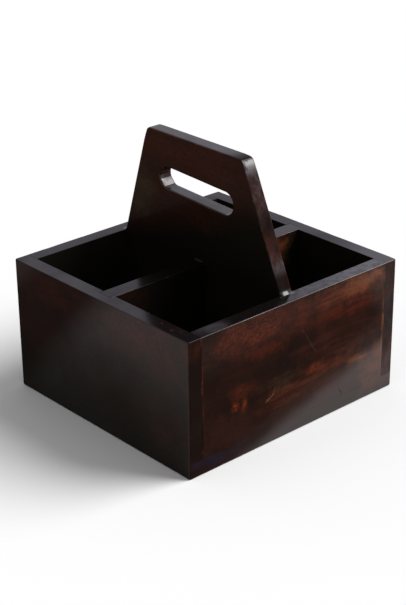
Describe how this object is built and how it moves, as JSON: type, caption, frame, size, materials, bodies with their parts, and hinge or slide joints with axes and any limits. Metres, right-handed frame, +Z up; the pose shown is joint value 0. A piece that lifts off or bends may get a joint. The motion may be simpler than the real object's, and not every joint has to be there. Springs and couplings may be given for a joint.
{
  "type": "stationery holder",
  "caption": "Open square wooden desk caddy with compartments and a tapered carrying board with a finger slot standing across it.",
  "frame": {"origin": "centre of the underside, on the surface that the box stands on", "axes": "+Z up, +X along the carrying board, +Y across it towards the back wall"},
  "size_m": [0.2, 0.212, 0.2017],
  "materials": {
    "wall_wood": "dark espresso stain under gloss lacquer, red-brown where worn",
    "base_wood": "dark espresso stain, satin lacquer",
    "handle_wood": "dark espresso stain under satin lacquer",
    "divider_wood": "dark espresso stain under satin lacquer",
    "pin_steel": "plain drawn wire"
  },
  "bodies": {
    "root": {"front_wall": "wall_wood", "back_wall": "wall_wood", "left_wall": "wall_wood", "right_wall": "wall_wood", "base_board": "base_wood", "handle_board": "handle_wood", "cross_divider": "divider_wood", "front_left_pin_1": "pin_steel", "front_left_pin_2": "pin_steel", "front_left_pin_3": "pin_steel", "front_right_pin_1": "pin_steel", "front_right_pin_2": "pin_steel", "front_right_pin_3": "pin_steel", "back_left_pin_1": "pin_steel", "back_left_pin_2": "pin_steel", "back_left_pin_3": "pin_steel", "back_right_pin_1": "pin_steel", "back_right_pin_2": "pin_steel", "back_right_pin_3": "pin_steel", "handle_pin_left_1": "pin_steel", "handle_pin_left_2": "pin_steel", "handle_pin_right_1": "pin_steel", "handle_pin_right_2": "pin_steel", "divider_pin_front_1": "pin_steel", "divider_pin_front_2": "pin_steel", "divider_pin_back_1": "pin_steel", "divider_pin_back_2": "pin_steel", "base_pin_front_1": "pin_steel", "base_pin_front_2": "pin_steel", "base_pin_back_1": "pin_steel", "base_pin_back_2": "pin_steel", "base_pin_left_1": "pin_steel", "base_pin_left_2": "pin_steel", "base_pin_right_1": "pin_steel", "base_pin_right_2": "pin_steel", "base_pin_handle_1": "pin_steel", "base_pin_handle_2": "pin_steel", "base_pin_divider_1": "pin_steel", "base_pin_divider_2": "pin_steel"}
  },
  "joints": []
}
